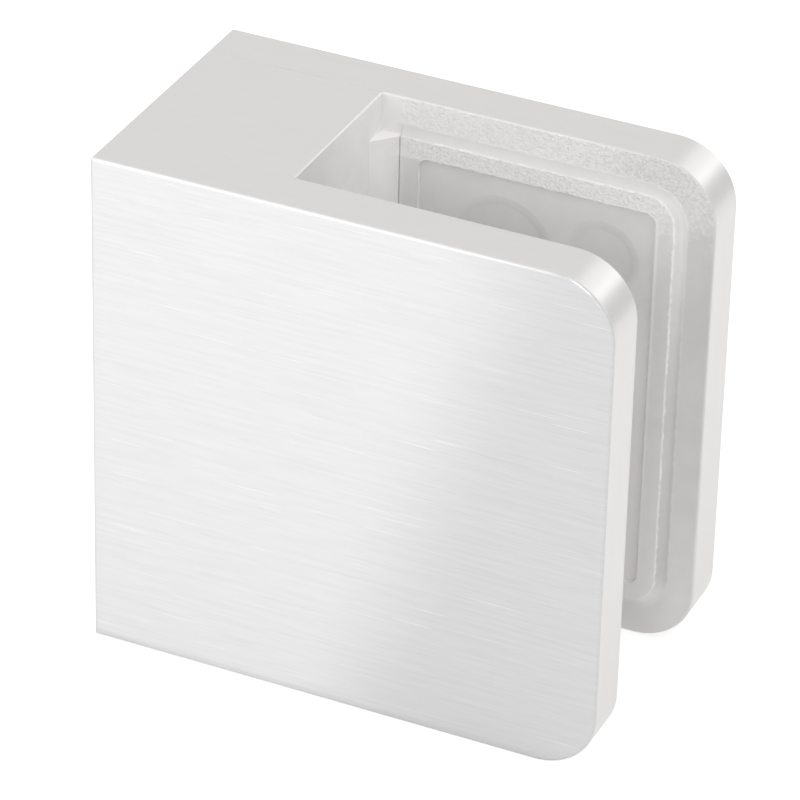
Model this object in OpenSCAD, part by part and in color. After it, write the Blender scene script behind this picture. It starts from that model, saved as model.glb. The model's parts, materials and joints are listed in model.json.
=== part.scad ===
// Glass panel clamp: a cast body with a solid block at the back, a cover plate that closes the far side of
// the glass slot, and two countersunk screws that draw the plate against the block.
//
// +X runs from the back face to the mouth of the slot, +Y across the clamp from the body's arm to the cover
// plate, and +Z up. The origin is the centre of the back face, on the axis of the fixing bore.

/* [Overall size] */
// Depth from the back face to the mouth
clamp_depth = 45; // [40:0.5:60]
// Height of the clamp
clamp_height = 45; // [44:0.5:60]
// Thickness over both arms
clamp_thickness = 25; // [24:0.5:32]
// Width of the slot between the arms
slot_width = 16; // [13:0.5:17]
// Depth of the solid block behind the slot
block_depth = 15.75; // [14:0.25:19]

/* [Corners and edges] */
// Radius of the two mouth corners
mouth_radius = 5.25; // [3:0.25:8]
// Rounding of the edges of the outer faces
face_edge_radius = 0.3; // [0.2:0.05:0.8]
// Rounding of the edges of the slot
slot_edge_radius = 0.2; // [0.1:0.05:0.5]

/* [Liner seat] */
// Height of the raised frame above the arm's inner face
frame_rise = 0.4; // [0.3:0.05:1]
// Distance from the arm's top, bottom and mouth edges to the frame
frame_margin = 3.4; // [3:0.1:5]
// Width of the frame
frame_width = 1.6; // [1:0.1:3]
// Distance from the end wall of the slot to the pocket inside the frame
pocket_setback = 3.5; // [2.5:0.1:5]
// Corner radius of the frame's outside
frame_radius = 2.5; // [1.2:0.1:3]
// Corner radius of the pocket inside the frame
pocket_radius = 0.9; // [0.5:0.1:3]
// Width of the hollow slope that leads up to the frame
cove_width = 1; // [0.6:0.1:2]

/* [Liner stud seats] */
// Depth of the round seats in the pocket
stud_seat_depth = 0.2; // [0.1:0.05:0.5]
// Width of the slope around each seat
seat_slope = 0.9; // [0.2:0.1:1.2]
// Radius of the seats near the block
inner_seat_radius = 4.6; // [3:0.1:5]
// Radius of the seats near the mouth
outer_seat_radius = 3.4; // [2:0.1:3.8]
// Gap from the pocket's wall near the block to the inner seats
inner_seat_gap = 2.7; // [1:0.1:3]
// Gap from the pocket's wall near the mouth to the outer seats
outer_seat_gap = 1.3; // [0.5:0.1:2]
// Gap from the pocket's top and bottom walls to the seats
seat_margin = 1.9; // [0.5:0.1:3]

/* [Corner webs] */
// How far the web stands off the arm where it meets the end wall
web_reach = 2.4; // [1:0.1:3]
// How far the web runs along the arm from the end wall
web_run = 1.8; // [1:0.1:2.4]
// Distance from the clamp's top and bottom to the webs
web_margin = 3.4; // [3:0.1:5]

/* [Fixing bore] */
// Diameter of the bore through the block, for an M8 screw
fixing_bore = 9; // [6.6:0.1:10]
// Diameter of the counterbore for the screw's low head
counterbore = 14.5; // [12:0.1:14.6]
// Depth of the counterbore
counterbore_depth = 5.6; // [4:0.1:7]

/* [Clamp screws] */
// Nominal diameter of the clamp screws
screw_diameter = 6; // [5:0.5:6]
// Length of a clamp screw over its head
screw_length = 16; // [12:1:18]
// Diameter of the countersunk head
head_diameter = 12; // [9:0.5:12]
// Height of the straight rim of the head
head_rim = 0.3; // [0.1:0.05:0.5]
// How far the head lies below the cover plate's face
head_sink = 0.2; // [0:0.05:0.3]
// Width across the flats of the hexagon socket
socket_width = 4; // [3:0.5:4]
// Depth of the hexagon socket
socket_depth = 2.2; // [1.5:0.1:2.5]
// Bevel at the screw's tip
tip_bevel = 0.8; // [0.3:0.1:1.2]
// Distance from the back face to the screws
screw_inset = 7.9; // [7:0.1:8.2]
// Distance from the clamp's top and bottom to the screws
screw_margin = 8.5; // [7:0.5:9.5]
// Length of the tapped hole beyond the screw's tip
tap_runout = 2; // [1:0.5:3]

/* [Clearances] */
// Gap between the cover plate's raised frame and the webs on the block
plate_clearance = 0.05; // [0.05:0.05:0.3]
// Radial gap between a screw's shank and its hole in the cover plate
shank_clearance = 0.3; // [0.1:0.05:0.5]
// Gap between a screw's head and its countersink
head_clearance = 0.05; // [0.02:0.01:0.15]
// Radial gap between a screw and its tapped hole
thread_clearance = 0.05; // [0.02:0.01:0.1]

/* [Hidden] */

$fn = 96;

half_height = clamp_height / 2;
half_thickness = clamp_thickness / 2;
half_slot = slot_width / 2;
arm_thickness = half_thickness - half_slot;

// The frame's top, bottom and mouth edges, and those of the pocket inside it
frame_half_height = half_height - frame_margin;
frame_mouth = clamp_depth - frame_margin;
pocket_half_height = frame_half_height - frame_width;
pocket_mouth = frame_mouth - frame_width;
pocket_back = block_depth + pocket_setback;
web_end = block_depth + web_run;

// Radius of the hollow slope: it leaves the arm's face at a tangent and ends at the frame's edge
cove_radius = (cove_width * cove_width + frame_rise * frame_rise) / (2 * frame_rise);

head_radius = head_diameter / 2;
screw_radius = screw_diameter / 2;
head_cone = head_radius - screw_radius;
drill_point_angle = 118;

// How far a cut runs past the surface that it opens, and a raised form into what carries it
overcut = 1;
root = 0.3;

// The circle of an edge rounding is this much larger than one that only touches both faces, so that it
// crosses them
crossing = 1.05;

STAINLESS = [0.87, 0.87, 0.86];
SCREW_STEEL = [0.72, 0.73, 0.74];

// Stands a side outline, drawn with X to the mouth and Y up, between two planes across the clamp.
module upright(from, to) {
    translate([0, to, 0]) rotate([90, 0, 0]) linear_extrude(to - from) children();
}

// A side outline, square at its back end and rounded at its two mouth corners.
module mouth_rounded(back, mouth, half, radius) {
    translate([back, -half]) square([mouth - radius - back, 2 * half]);
    translate([back, radius - half]) square([mouth - back, 2 * (half - radius)]);
    for (side = [-1, 1]) translate([mouth - radius, side * (half - radius)]) circle(radius);
}

// The same outline with all four corners rounded.
module fully_rounded(back, mouth, half, radius) {
    intersection() {
        mouth_rounded(back, mouth, half, radius);
        translate([back + mouth, 0]) mirror([1, 0]) mouth_rounded(back, mouth, half, radius);
    }
}

// Runs a profile along the top, mouth and bottom of a mouth-rounded outline.
// In the profile, X is the direction across the clamp and Y points away from the outline's middle.
module around_mouth(back, mouth, half, radius) {
    for (flip = [0, 1]) mirror([0, 0, flip]) {
        translate([back, 0, half]) rotate([90, 0, 90]) linear_extrude(mouth - radius - back) children();
        translate([mouth - radius, 0, half - radius]) mirror([0, 1, -1])
            rotate_extrude(angle = 90) translate([radius, 0]) mirror([1, -1]) children();
    }
    translate([mouth, 0, radius - half]) mirror([1, -1, 0]) linear_extrude(2 * (half - radius)) children();
}

// What a rounding of the given radius takes off a corner whose solid lies towards -X and -Y.
module corner_waste(radius) {
    difference() {
        translate([-radius, -radius]) square(radius + overcut);
        translate([-radius, -radius]) circle(radius * crossing);
    }
}

// Roundings of one arm, whose inner face is at Y = 0 and whose outer face lies towards -Y.
module arm_edge_waste() {
    around_mouth(block_depth, clamp_depth, half_height, mouth_radius) corner_waste(slot_edge_radius);
    translate([0, -arm_thickness, 0]) {
        around_mouth(-overcut, clamp_depth, half_height, mouth_radius)
            mirror([1, 0]) corner_waste(face_edge_radius);
        translate([0, 0, -half_height - overcut]) linear_extrude(clamp_height + 2 * overcut)
            rotate(180) corner_waste(face_edge_radius);
    }
}

// Roundings of the back face's top and bottom edges.
module back_edge_waste() {
    for (flip = [0, 1]) mirror([0, 0, flip]) upright(-half_thickness - overcut, half_thickness + overcut)
        translate([0, half_height]) mirror([1, 0]) corner_waste(face_edge_radius);
}

// Roundings of the end wall's top and bottom edges.
module end_wall_edge_waste() {
    for (flip = [0, 1]) mirror([0, 0, flip]) upright(-half_slot, half_slot + overcut)
        translate([block_depth, half_height]) corner_waste(slot_edge_radius);
}

// Raised frame that holds a rubber liner. It stands towards +Y on an arm whose inner face is at Y = 0, and
// starts at the given distance from the back face.
module liner_frame(start) {
    upright(-root, frame_rise) difference() {
        mouth_rounded(start, frame_mouth, frame_half_height, frame_radius);
        fully_rounded(pocket_back, pocket_mouth, pocket_half_height, pocket_radius);
    }
    around_mouth(start, frame_mouth, frame_half_height, frame_radius) difference() {
        translate([-root, -root]) square([root + frame_rise, root + cove_width]);
        translate([cove_radius, cove_width]) circle(cove_radius);
    }
}

// Sloping web in the corner between the end wall and an arm whose inner face is at Y = 0. It reaches the
// given depth below that face, and is rooted in the block.
module corner_web(foot) {
    slope = (web_reach - frame_rise) / web_run;
    translate([0, 0, web_margin - half_height]) linear_extrude(clamp_height - 2 * web_margin) polygon([
        [block_depth - root, -foot], [block_depth - root, web_reach + slope * root], [web_end, frame_rise],
        [web_end, -foot]
    ]);
}

// Shallow round seat with a sloping side, sunk into an arm whose inner face is at Y = 0.
module stud_seat(radius) {
    rotate([-90, 0, 0]) rotate_extrude() polygon([
        [0, -stud_seat_depth], [radius - seat_slope, -stud_seat_depth], [radius, 0], [radius, overcut],
        [0, overcut]
    ]);
}

// Seats in the pocket for the studs on the back of the liner.
module stud_seats() {
    inner_x = pocket_back + inner_seat_gap + inner_seat_radius;
    outer_x = pocket_mouth - outer_seat_gap - outer_seat_radius;
    top = pocket_half_height - seat_margin;
    for (side = [-1, 1]) {
        translate([inner_x, 0, side * (top - inner_seat_radius)]) stud_seat(inner_seat_radius);
        translate([outer_x, 0, side * (top - outer_seat_radius)]) stud_seat(outer_seat_radius);
    }
}

// Places what is drawn along Z at one clamp screw, with Z = 0 at the top of its head, outside the plate.
module at_clamp_screw(side) {
    translate([screw_inset, half_thickness - head_sink, side * (half_height - screw_margin)]) rotate([-90, 0, 0])
        children();
}

// One clamp screw: countersunk head with a hexagon socket, and a plain shank in place of the thread.
module clamp_screw() {
    difference() {
        rotate_extrude() polygon([
            [0, 0], [head_radius, 0], [head_radius, -head_rim], [screw_radius, -head_rim - head_cone],
            [screw_radius, tip_bevel - screw_length], [screw_radius - tip_bevel, -screw_length],
            [0, -screw_length]
        ]);
        translate([0, 0, -socket_depth])
            cylinder(d = socket_width / cos(30), h = socket_depth + overcut, $fn = 6);
    }
}

// Countersink and clearance hole for one clamp screw, through the cover plate.
module countersunk_hole() {
    mouth = head_radius + head_clearance;
    hole = screw_radius + shank_clearance;
    rotate_extrude() polygon([
        [0, overcut], [mouth, overcut], [mouth, -head_rim], [hole, hole - mouth - head_rim],
        [hole, -arm_thickness - overcut], [0, -arm_thickness - overcut]
    ]);
}

// Tapped blind hole for one clamp screw, in the block.
module tapped_hole() {
    radius = screw_radius + thread_clearance;
    full_depth = screw_length + tap_runout;
    rotate_extrude() polygon([
        [0, 0], [radius, 0], [radius, -full_depth], [0, -full_depth - radius / tan(drill_point_angle / 2)]
    ]);
}

// Bore through the block along X, with its counterbore in the end wall of the slot.
module fixing_hole() {
    rotate([0, 90, 0]) {
        translate([0, 0, -overcut]) cylinder(d = fixing_bore, h = block_depth + 2 * overcut);
        translate([0, 0, block_depth - counterbore_depth])
            cylinder(d = counterbore, h = counterbore_depth + web_run + overcut);
    }
}

module clamp_body() {
    color(STAINLESS) difference() {
        union() {
            upright(-half_thickness, -half_slot)
                mouth_rounded(0, clamp_depth, half_height, mouth_radius);
            upright(-half_thickness, half_slot)
                translate([0, -half_height]) square([block_depth, clamp_height]);
            translate([0, -half_slot, 0]) {
                liner_frame(web_end - root);
                corner_web(root);
            }
            mirror([0, 1, 0]) translate([0, -half_slot, 0]) corner_web(0);
        }
        translate([0, -half_slot, 0]) {
            arm_edge_waste();
            stud_seats();
        }
        back_edge_waste();
        end_wall_edge_waste();
        fixing_hole();
        for (side = [-1, 1]) at_clamp_screw(side) tapped_hole();
    }
}

module cover_plate() {
    color(STAINLESS) difference() {
        union() {
            upright(half_slot, half_thickness)
                mouth_rounded(0, clamp_depth, half_height, mouth_radius);
            mirror([0, 1, 0]) translate([0, -half_slot, 0]) liner_frame(web_end + plate_clearance);
        }
        mirror([0, 1, 0]) translate([0, -half_slot, 0]) {
            arm_edge_waste();
            stud_seats();
        }
        back_edge_waste();
        for (side = [-1, 1]) at_clamp_screw(side) countersunk_hole();
    }
}

module clamp_screw_upper() {
    color(SCREW_STEEL) at_clamp_screw(1) clamp_screw();
}

module clamp_screw_lower() {
    color(SCREW_STEEL) at_clamp_screw(-1) clamp_screw();
}

clamp_body();
cover_plate();
clamp_screw_upper();
clamp_screw_lower();
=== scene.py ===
import json
import math
from types import SimpleNamespace

import bpy
from mathutils import Matrix, Vector

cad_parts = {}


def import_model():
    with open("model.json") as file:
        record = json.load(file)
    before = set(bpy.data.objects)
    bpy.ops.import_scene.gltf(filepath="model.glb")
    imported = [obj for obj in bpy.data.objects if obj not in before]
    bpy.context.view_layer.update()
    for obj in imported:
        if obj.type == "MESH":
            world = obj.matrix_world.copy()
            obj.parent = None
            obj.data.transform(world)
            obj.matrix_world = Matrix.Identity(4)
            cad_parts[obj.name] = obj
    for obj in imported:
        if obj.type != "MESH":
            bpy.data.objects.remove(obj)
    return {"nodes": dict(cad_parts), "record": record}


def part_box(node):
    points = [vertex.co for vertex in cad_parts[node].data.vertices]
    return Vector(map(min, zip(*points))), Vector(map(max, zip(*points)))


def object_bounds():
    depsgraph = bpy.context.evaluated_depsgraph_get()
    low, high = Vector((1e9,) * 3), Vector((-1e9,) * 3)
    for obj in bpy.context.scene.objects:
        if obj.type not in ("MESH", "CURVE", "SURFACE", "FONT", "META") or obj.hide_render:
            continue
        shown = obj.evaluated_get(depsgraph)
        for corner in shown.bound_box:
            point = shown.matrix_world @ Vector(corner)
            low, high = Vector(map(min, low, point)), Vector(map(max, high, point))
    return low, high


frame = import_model()
cad_lo, cad_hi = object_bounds()

MM = 0.001

# Places of the slot. The openings start 0.05 mm in front of the end wall and of the corner webs' ends.
openings = {o["name"]: o for o in frame["record"]["physics"]["openings"]}
HALF_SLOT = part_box("clamp_body")[1].y
HALF_HEIGHT = cad_hi.z
MOUTH = cad_hi.x
END_WALL = openings["glass_slot_root"]["box_m"][0][0]
WEB_END = openings["glass_slot"]["box_m"][0][0]

# The liner frame inside each arm, as the CAD source has it
FRAME_MARGIN = 3.4 * MM
FRAME_WIDTH = 1.6 * MM
FRAME_RADIUS = 2.5 * MM
COVE_WIDTH = 1.0 * MM
STUD_SEAT_DEPTH = 0.2 * MM

# Radius to which the materials soften sharp edges
CASTING_EDGE = 0.15 * MM
SCREW_EDGE = 0.12 * MM

# Brushed outside: ARM_ is for the arms' faces, and TOP_ for the top, the ends and the back, which TOP_TONE
# and TOP_BLUE paint a little lighter and warmer, as painted light and a painted reflection. The noise keeps
# only the share
# BRUSH_SQUEEZE of its scale along the brushing, which draws it out into lines.
BRUSH_SQUEEZE = 0.04
BRUSHED_ROUGHNESS = (0.35, 0.375)
TOP_TONE = 0.935
TOP_BLUE = 0.965
ARM_TONE = 0.905
# The next tone is painted shade on the arms' faces towards the mouth
PAINTED_SHADE_TONE = 0.77
SEAM_TONE = 0.75

# Cast skin inside the slot: BLUR is half the width of a zone's soft edge, and RAGGED how far the edge strays.
# SMOOTH_GRAIN is the share of the grain's depth that the smooth zones keep.
CAST_ROUGHNESS = 0.6
SMOOTH_METALLIC = 0.35
GRAINY_METALLIC = 0.05
GRAIN_DEPTH = 0.26 * MM
SMOOTH_GRAIN = 0.03
BLUR = 0.1 * MM
RAGGED = 0.12 * MM
# The tones below paint light and shade over the slot's inside: lighter along the top rim and low down, and
# darker below the rim, in the cove, in the stud seats and on the end wall towards the near arm
MARGIN_TONE = 1.0
SIDE_TONE = 0.84
LOW_TONE = 0.94
COVE_TONE = 0.7
FRAME_TONE = 0.96
POCKET_TONE = 0.825
SEAT_SHADE_TONE = 0.79
WALL_TONE = 0.94
SHADED_WALL_TONE = 0.76
CAST_BLUE = 0.98

# Floor and world: the floor glows for the camera and, far less, in reflections
FLOOR_TONE = 0.82
CAMERA_GLOW = 0.45
GLOSSY_GLOW = 0.02
SKY = 0.77
HORIZON = 0.66

CAMERA_LENS = 228.7
CAMERA_PLACE = (0.16627, -0.32149, 0.21408)
CAMERA_TARGET = (0.0216, 0.0, -0.00057)
CAMERA_ROLL = 1.5


class Nodes:
    """Builds a shader node tree with short calls that return sockets."""

    def __init__(self, tree):
        self.tree = tree
        tree.nodes.clear()

    def add(self, kind, inputs=(), out=0, **settings):
        """One output of a new node, or the node itself where out is None."""
        node = self.tree.nodes.new(kind)
        for key, value in settings.items():
            setattr(node, key, value)
        for key, value in dict(inputs).items():
            if isinstance(value, bpy.types.NodeSocket):
                self.tree.links.new(value, node.inputs[key])
            else:
                node.inputs[key].default_value = value
        return node.outputs[out] if out is not None else node

    def math(self, operation, a, b=0.0, c=0.0, clamp=False):
        return self.add("ShaderNodeMath", {0: a, 1: b, 2: c}, operation=operation, use_clamp=clamp)

    def combine(self, x, y, z):
        return self.add("ShaderNodeCombineXYZ", {0: x, 1: y, 2: z})

    def separate(self, vector):
        return self.add("ShaderNodeSeparateXYZ", {0: vector}, out=None).outputs

    def ramp(self, value, low, high, to_low=0.0, to_high=1.0):
        """value from low..high to to_low..to_high, smooth and clamped."""
        return self.add(
            "ShaderNodeMapRange",
            {"Value": value, "From Min": low, "From Max": high, "To Min": to_low, "To Max": to_high},
            interpolation_type="SMOOTHSTEP",
        )

    def spread(self, noise, low, high):
        """noise stretched to low..high, as most of its values lie in 0.3..0.7."""
        return self.ramp(noise, 0.3, 0.7, low, high)

    def blend(self, factor, a, b):
        """a where factor is 0 and b where it's 1."""
        return self.add("ShaderNodeMix", {0: factor, 2: a, 3: b}, data_type="FLOAT")

    def blend_vectors(self, factor, a, b):
        return self.add("ShaderNodeMix", {0: factor, 4: a, 5: b}, out=1, data_type="VECTOR")

    def noise(self, place, scale, detail=2.0, roughness=0.5):
        """Noise whose scale is in cells a millimetre."""
        inputs = {"Vector": place, "Scale": scale / MM, "Detail": detail, "Roughness": roughness}
        return self.add("ShaderNodeTexNoise", inputs)

    def bump(self, height, distance, strength, edges):
        """Normal of a relief laid over the softened edges."""
        inputs = {"Height": height, "Distance": distance, "Strength": strength, "Normal": edges}
        return self.add("ShaderNodeBump", inputs)


def new_material(name):
    material = bpy.data.materials.new(name)
    material.use_nodes = True
    return material, Nodes(material.node_tree)


def grey(value):
    return (value, value, value, 1)


def slot_mask(n, x, y, facing):
    """1 on the as-cast surfaces inside the slot and in its stud seats, 0 on the finished outside."""
    seats = n.math("MULTIPLY", n.ramp(facing, 0.8, 0.9), STUD_SEAT_DEPTH + 0.05 * MM)
    outward = n.math("SUBTRACT", n.math("ABSOLUTE", y), n.math("ADD", seats, HALF_SLOT))
    inward = n.ramp(outward, 0.02 * MM, 0.06 * MM, 1, 0)
    deep = n.ramp(x, END_WALL - 0.12 * MM, END_WALL - 0.08 * MM)
    return n.math("MULTIPLY", inward, deep)


def frame_distance(n, x, z):
    """Distance in the arm's plane from the liner frame's outer edge: negative inside the frame."""
    centre_x = (MOUTH - FRAME_MARGIN) / 2
    straight_x = centre_x - FRAME_RADIUS
    straight_z = HALF_HEIGHT - FRAME_MARGIN - FRAME_RADIUS
    dx = n.math("SUBTRACT", n.math("ABSOLUTE", n.math("SUBTRACT", x, centre_x)), straight_x)
    dz = n.math("SUBTRACT", n.math("ABSOLUTE", z), straight_z)
    beyond = n.combine(n.math("MAXIMUM", dx, 0.0), n.math("MAXIMUM", dz, 0.0), 0.0)
    length = n.add("ShaderNodeVectorMath", {0: beyond}, out="Value", operation="LENGTH")
    within = n.math("MINIMUM", n.math("MAXIMUM", dx, dz), 0.0)
    return n.math("SUBTRACT", n.math("ADD", length, within), FRAME_RADIUS)


def brushed(n, x, y, z, on_arm, edges):
    """Tone, roughness and normal of the outside, brushed along the depth and round the arms' ends."""
    along_z = n.math("MULTIPLY", z, n.blend(on_arm, BRUSH_SQUEEZE, 1.0))
    along = n.combine(n.math("MULTIPLY", x, BRUSH_SQUEEZE), y, along_z)
    longer = n.add("ShaderNodeVectorMath", {0: along, 1: (0.5, 1, 1)}, operation="MULTIPLY")
    fine = n.noise(along, 8.0, detail=3, roughness=0.65)
    streaks = n.noise(along, 3.2, detail=3, roughness=0.6)
    bright = n.ramp(n.noise(longer, 9.0, detail=0), 0.77, 0.87)
    dark = n.ramp(n.noise(along, 6.1, detail=1), 0.64, 0.76)

    # Lines stand out on the arms' faces and are faint on the top, the ends and the back
    lines = n.spread(streaks, -0.02, 0.02)
    lines = n.math("ADD", lines, n.math("MULTIPLY", bright, 0.1))
    lines = n.math("SUBTRACT", lines, n.math("MULTIPLY", dark, 0.03))
    lines = n.math("MULTIPLY", lines, n.blend(on_arm, 0.35, 1.0))

    # Painted shade: the arms' faces are painted darker towards the mouth, for the darker reflection there
    lean = n.math("SUBTRACT", x, n.math("MULTIPLY", z, 0.3))
    painted_shade = n.math("MULTIPLY", n.ramp(lean, MOUTH * 0.52, MOUTH * 0.8), on_arm)
    # The top, the ends and the back are painted lighter than the arms' faces, as painted light
    bare = n.blend(on_arm, TOP_TONE, ARM_TONE)
    tone = n.math("ADD", n.blend(painted_shade, bare, PAINTED_SHADE_TONE), lines)

    # Hairline where the cover plate meets the block
    from_joint = n.math("ABSOLUTE", n.math("SUBTRACT", y, HALF_SLOT))
    on_block = n.ramp(x, END_WALL - 0.1 * MM, END_WALL, 1, 0)
    seam = n.math("MULTIPLY", n.ramp(from_joint, 0.01 * MM, 0.03 * MM, 1, 0), on_block)
    tone = n.math("MULTIPLY", tone, n.blend(seam, 1.0, SEAM_TONE))

    relief = n.blend(0.6, fine, streaks)
    return tone, n.spread(streaks, *BRUSHED_ROUGHNESS), n.bump(relief, 0.002 * MM, 0.35, edges)


def cast_zones(n, x, z, facing, from_frame, ragged):
    """Masks of the slot's skin, each 1 in its zone.

    arm is an arm's inside, margin lies outside the cove, framed is what the frame's outer edge encloses, face
    is the raised frame, near_rim lies below the top rim, and grainy is the rough part of margin and face.
    """
    arm = n.math("MULTIPLY", n.ramp(facing, 0.5, 0.6), n.ramp(x, END_WALL + 0.5 * MM, WEB_END + 1.0 * MM))
    margin = n.math("MULTIPLY", arm, n.ramp(from_frame, COVE_WIDTH - BLUR, COVE_WIDTH + BLUR))
    framed = n.ramp(from_frame, -BLUR, BLUR, 1, 0)
    strayed = n.math("ADD", from_frame, ragged)
    on_frame = n.ramp(strayed, -FRAME_WIDTH - 0.3 * MM, -FRAME_WIDTH + 0.02 * MM)
    face = n.math("MULTIPLY", arm, n.math("MULTIPLY", framed, on_frame))

    # The grainy zone lies along the top rim and starts higher beside the mouth
    level = n.math("SUBTRACT", z, n.ramp(x, MOUTH * 0.8, MOUTH * 0.93, 0, 3.2 * MM))
    level = n.math("ADD", level, n.math("MULTIPLY", ragged, 12.0))
    near_rim = n.ramp(level, HALF_HEIGHT * 0.5, HALF_HEIGHT * 0.8)
    grainy = n.math("MULTIPLY", n.math("ADD", margin, face, clamp=True), near_rim)
    return SimpleNamespace(
        arm=arm, margin=margin, framed=framed, face=face, near_rim=near_rim, grainy=grainy
    )


def cast_tone(n, zones, x, y, z, facing, up):
    """Tone of each zone, with painted light and shade; the stud seats get painted shade and what looks up is
    painted bright.
    """
    # Painted shade: the end wall is painted darker towards the near arm
    wall = n.ramp(y, -HALF_SLOT, HALF_SLOT * 0.5, SHADED_WALL_TONE, WALL_TONE)
    # Painted light and shade by height: the pocket is painted lighter in its lower half, and the cove lighter
    # at the bottom and darker at mid-height
    high = n.ramp(z, 0, HALF_HEIGHT * 0.7)
    low_cove = n.ramp(z, -HALF_HEIGHT * 0.85, -HALF_HEIGHT * 0.7, LOW_TONE, COVE_TONE)
    cove = n.blend(high, low_cove, POCKET_TONE)
    pocket = n.blend(high, 1.0, POCKET_TONE)
    tone = n.blend(zones.arm, wall, n.blend(zones.framed, cove, pocket))

    # Below the top rim, painted shade darkens the frame's face and the margin upwards and towards the mouth,
    # and painted light lightens them towards the bottom
    by_mouth = n.ramp(x, MOUTH - FRAME_MARGIN + COVE_WIDTH, MOUTH, 0, 0.06)
    by_rim = n.ramp(z, 0, HALF_HEIGHT * 0.6, 0, 0.08)
    side = n.ramp(z, -HALF_HEIGHT, 0, LOW_TONE, SIDE_TONE)
    side = n.math("SUBTRACT", side, n.math("ADD", by_mouth, by_rim))
    # Along the top rim the frame's face is painted lit
    face = n.blend(zones.near_rim, n.math("ADD", side, 0.07), FRAME_TONE)
    tone = n.blend(zones.face, tone, face)
    # Along the top rim the margin is painted lit, less so towards the mouth
    top = n.ramp(x, MOUTH * 0.7, MOUTH * 0.9, MARGIN_TONE, SIDE_TONE)
    tone = n.blend(zones.margin, tone, n.blend(zones.near_rim, side, top))

    # Painted shade: the stud seats are painted darker
    depth = n.math("SUBTRACT", n.math("ABSOLUTE", y), HALF_SLOT)
    sunk = n.ramp(depth, 0.02 * MM, STUD_SEAT_DEPTH - 0.02 * MM)
    tone = n.blend(n.math("MULTIPLY", sunk, facing), tone, SEAT_SHADE_TONE)
    # Painted light: what looks up is painted bright
    return n.blend(n.ramp(up, 0.6, 0.9), tone, 1.0)


def painted_edge_highlights(n, place, from_frame, ragged, near_rim):
    """Painted highlights: patchy bright lines along both edges of the cove, and an even one on the step down
    to the pocket.
    """
    strayed = n.math("ADD", from_frame, n.math("MULTIPLY", ragged, 0.4))
    crest = n.ramp(n.math("ABSOLUTE", strayed), 0.02 * MM, 0.14 * MM, 1, 0)
    from_lip = n.math("ABSOLUTE", n.math("SUBTRACT", from_frame, COVE_WIDTH))
    lip = n.math("MULTIPLY", n.ramp(from_lip, 0.04 * MM, 0.16 * MM, 1, 0), n.blend(near_rim, 0.35, 0.6))
    patchy = n.ramp(n.noise(place, 1.4, detail=3), 0.35, 0.6, 0.3, 1.0)
    patches = n.math("MULTIPLY", n.math("MAXIMUM", crest, lip), patchy)

    # A painted light line on the step hides the step's shadow, which would stand out as a dark one
    from_step = n.math("ABSOLUTE", n.math("ADD", from_frame, FRAME_WIDTH - 0.1 * MM))
    step = n.ramp(from_step, 0.08 * MM, 0.3 * MM, 0.7, 0)
    return n.math("MAXIMUM", patches, step)


def as_cast(n, place, x, y, z, facing, up, edges):
    """Tone, graininess and normal of the slot's skin: grainy near the top rim and smooth elsewhere."""
    ragged = n.spread(n.noise(place, 1.6, detail=3, roughness=0.6), -RAGGED, RAGGED)
    from_frame = frame_distance(n, x, z)
    zones = cast_zones(n, x, z, facing, from_frame, ragged)
    edge_highlights = painted_edge_highlights(n, place, from_frame, ragged, zones.near_rim)

    tone = cast_tone(n, zones, x, y, z, facing, up)
    # Painted highlights along the cove's edges and on the step
    tone = n.blend(n.math("MULTIPLY", edge_highlights, zones.arm), tone, 1.0)
    tone = n.math("ADD", tone, n.spread(n.noise(place, 0.45, detail=3), -0.015, 0.015))

    grain = n.noise(place, 3.8, detail=3, roughness=0.7)
    specks = n.math("MULTIPLY", n.ramp(grain, 0.36, 0.64, -0.07, 0.06), zones.grainy)
    tone = n.math("ADD", tone, specks, clamp=True)
    depth = n.blend(zones.grainy, SMOOTH_GRAIN, 1.0)
    relief = n.math("MULTIPLY", n.math("SUBTRACT", grain, 0.5), depth)
    return tone, zones.grainy, n.bump(relief, GRAIN_DEPTH, 1.0, edges)


def satin_stainless():
    """Cast stainless steel, brushed outside and left as cast inside the slot."""
    material, n = new_material("satin_stainless")
    place = n.add("ShaderNodeTexCoord", out="Object")
    x, y, z = n.separate(place)
    edges = n.add("ShaderNodeBevel", {"Radius": CASTING_EDGE}, samples=6)

    # facing is 1 on the arms' faces, inside and outside, and 0 on the top, the ends and the back
    _, side, up = n.separate(n.add("ShaderNodeNewGeometry", out="Normal"))
    facing = n.math("ABSOLUTE", side)
    on_arm = n.ramp(facing, 0.45, 0.55)

    cast = slot_mask(n, x, y, facing)
    brushed_tone, brushed_rough, brushed_normal = brushed(n, x, y, z, on_arm, edges)
    skin_tone, grainy, skin_normal = as_cast(n, place, x, y, z, facing, up, edges)

    # The tone is the red. The blue is a share of it, and the green lies halfway between the two. On the top,
    # the ends and the back, the smaller blue share is a painted warm reflection.
    red = n.blend(cast, brushed_tone, skin_tone)
    blue_share = n.blend(cast, n.blend(on_arm, TOP_BLUE, 1.0), CAST_BLUE)
    green_share = n.math("MULTIPLY_ADD", blue_share, 0.5, 0.5)
    colour = {0: red, 1: n.math("MULTIPLY", red, green_share), 2: n.math("MULTIPLY", red, blue_share)}

    # The brushing spreads a highlight across its lines, in the face's plane
    across = n.combine(0.0, n.math("SUBTRACT", 1.0, facing), facing)
    shader = n.add(
        "ShaderNodeBsdfPrincipled",
        {
            "Base Color": n.add("ShaderNodeCombineColor", colour),
            "Metallic": n.blend(cast, 1.0, n.blend(grainy, SMOOTH_METALLIC, GRAINY_METALLIC)),
            "Roughness": n.blend(cast, brushed_rough, CAST_ROUGHNESS),
            "Anisotropic": 0.9,
            "Tangent": across,
            "Normal": n.blend_vectors(cast, brushed_normal, skin_normal),
        },
    )
    n.add("ShaderNodeOutputMaterial", {"Surface": shader}, out=None)
    return material


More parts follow.
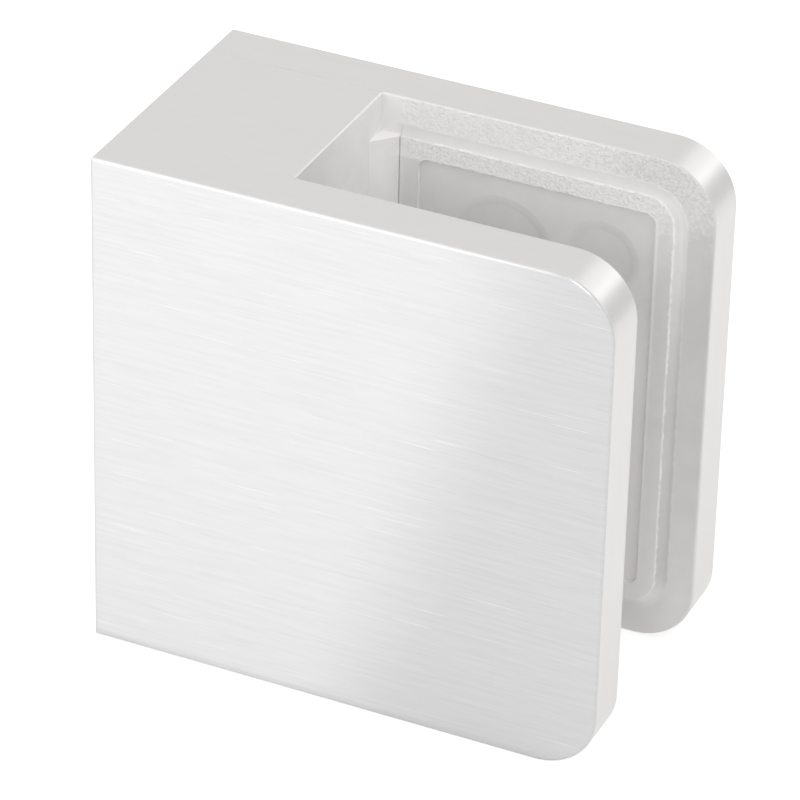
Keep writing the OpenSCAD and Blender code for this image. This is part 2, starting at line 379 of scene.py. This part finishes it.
def screw_steel():
    """Bright stainless of the clamp screws, with fine turning marks round each axis."""
    material, n = new_material("screw_steel")
    low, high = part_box("clamp_screw_upper")
    place = n.add("ShaderNodeTexCoord", out="Object")
    x, y, z = n.separate(place)
    dx = n.math("SUBTRACT", x, (low.x + high.x) / 2)
    dz = n.math("SUBTRACT", n.math("ABSOLUTE", z), (low.z + high.z) / 2)
    from_axis = n.add("ShaderNodeVectorMath", {0: n.combine(dx, dz, 0.0)}, out="Value", operation="LENGTH")
    marks = n.noise(n.combine(from_axis, y, 0.0), 7.0, detail=2)
    patches = n.noise(place, 0.4, detail=2)
    tone = n.math("ADD", n.spread(marks, 0.68, 0.76), n.spread(patches, -0.02, 0.02))
    edges = n.add("ShaderNodeBevel", {"Radius": SCREW_EDGE}, samples=6)
    shader = n.add(
        "ShaderNodeBsdfPrincipled",
        {
            "Base Color": n.add("ShaderNodeCombineColor", {0: tone, 1: tone, 2: tone}),
            "Metallic": 1.0,
            "Roughness": n.spread(marks, 0.2, 0.3),
            "Normal": n.bump(marks, 0.004 * MM, 0.3, edges),
        },
    )
    n.add("ShaderNodeOutputMaterial", {"Surface": shader}, out=None)
    return material


def paint(nodes, material):
    for name in nodes:
        mesh = frame["nodes"][name].data
        mesh.materials.clear()
        mesh.materials.append(material)


def floor():
    """Plain pale floor with the clamp's shadow on it, clear from below and where the clamp touches it."""
    half = 3.0
    gap = 0.02 * MM
    touch = 1.0 * MM
    mesh = bpy.data.meshes.new("floor")
    corners = [(-half, -half, 0), (half, -half, 0), (half, half, 0), (-half, half, 0)]
    mesh.from_pydata(corners, [], [(0, 1, 2, 3)])
    obj = bpy.data.objects.new("floor", mesh)
    bpy.context.scene.collection.objects.link(obj)
    obj.location = ((cad_lo.x + cad_hi.x) / 2, 0, cad_lo.z - gap)

    material, n = new_material("floor")
    path = n.add("ShaderNodeLightPath", out=None).outputs
    seen = n.math("MULTIPLY", path["Is Camera Ray"], CAMERA_GLOW)
    mirrored = n.math("MULTIPLY", path["Is Glossy Ray"], GLOSSY_GLOW)
    lit = n.add("ShaderNodeBsdfDiffuse", {"Color": grey(FLOOR_TONE)})
    glow = n.add("ShaderNodeEmission", {"Color": grey(1.0), "Strength": n.math("ADD", seen, mirrored)})
    both = n.add("ShaderNodeAddShader", {0: lit, 1: glow})
    below = n.add("ShaderNodeNewGeometry", out="Backfacing")
    touching = n.math("LESS_THAN", path["Ray Length"], touch)
    clear = n.add("ShaderNodeBsdfTransparent")
    surface = n.add("ShaderNodeMixShader", {0: n.math("MAXIMUM", below, touching), 1: both, 2: clear})
    n.add("ShaderNodeOutputMaterial", {"Surface": surface}, out=None)
    mesh.materials.append(material)


def world():
    """White to the camera, and a soft grey-white studio for everything else, darker towards the horizon."""
    studio = bpy.data.worlds.new("studio")
    bpy.context.scene.world = studio
    studio.use_nodes = True
    n = Nodes(studio.node_tree)
    seen = n.add("ShaderNodeLightPath", out="Is Camera Ray")
    _, _, up = n.separate(n.add("ShaderNodeTexCoord", out="Generated"))
    strength = n.ramp(up, 0.0, 0.4, HORIZON, SKY)
    light = n.add("ShaderNodeBackground", {"Color": grey(1.0), "Strength": strength})
    white = n.add("ShaderNodeBackground", {"Color": grey(1.0), "Strength": 1.0})
    surface = n.add("ShaderNodeMixShader", {0: seen, 1: light, 2: white})
    n.add("ShaderNodeOutputWorld", {"Surface": surface}, out=None)


def aimed(place, target, roll=0):
    """Turn that looks from place at target, rolled about the line of sight by degrees."""
    look = Vector(target) - Vector(place)
    return look.to_track_quat("-Z", "Y") @ Matrix.Rotation(math.radians(roll), 4, "Z").to_quaternion()


def softbox(name, place, target, size, radiance, mirrored=True):
    """Area lamp as bright as a surface of that radiance, where 1 is white.

    The camera doesn't see it, and shiny surfaces mirror it only where mirrored is true.
    """
    data = bpy.data.lights.new(name, "AREA")
    data.shape = "RECTANGLE"
    data.size, data.size_y = size
    data.energy = radiance * math.pi * size[0] * size[1]
    obj = bpy.data.objects.new(name, data)
    bpy.context.scene.collection.objects.link(obj)
    obj.location = place
    obj.rotation_mode = "QUATERNION"
    obj.rotation_quaternion = aimed(place, target)
    obj.visible_glossy = mirrored
    obj.visible_camera = False


def camera():
    """Looks down on the near arm's face from the mouth's side, with a long lens."""
    data = bpy.data.cameras.new("camera")
    data.sensor_width = 36
    data.lens = CAMERA_LENS
    data.clip_start = 0.01
    obj = bpy.data.objects.new("camera", data)
    bpy.context.scene.collection.objects.link(obj)
    obj.rotation_mode = "QUATERNION"
    obj.rotation_quaternion = aimed(CAMERA_PLACE, CAMERA_TARGET, CAMERA_ROLL)
    obj.location = CAMERA_PLACE
    bpy.context.scene.camera = obj


camera()
world()
floor()
paint(["clamp_body", "cover_plate"], satin_stainless())
paint(["clamp_screw_upper", "clamp_screw_lower"], screw_steel())

# key and fill light the near face, rim and glow make the highlights on the mouth's corners, slot and side
# reach the far arm's inside, and top lights the floor and the slot from above
softbox("key", (-0.16, -0.32, 0.17), (0.0, 0, 0), (0.18, 0.34), 1.05)
softbox("fill", (-0.02, -0.34, 0.18), (0.02, 0, 0), (0.05, 0.22), 0.75)
softbox("rim", (0.275, 0.39, 0.205), (0.04, 0, 0.02), (0.15, 0.12), 1.0)
softbox("glow", (0.18, 0.39, 0.285), (0.04, 0, 0.02), (0.22, 0.2), 0.47)
softbox("slot", (0.1, -0.33, 0.19), (0.03, 0.008, 0.018), (0.08, 0.08), 9.0)
softbox("top", (0.12, 0.0, 0.45), (0.02, 0.001, 0), (0.42, 0.42), 0.9, mirrored=False)
softbox("side", (0.35, -0.05, 0.3), (0.03, 0, 0), (0.3, 0.3), 0.4)
bpy.context.scene.view_settings.view_transform = "Standard"
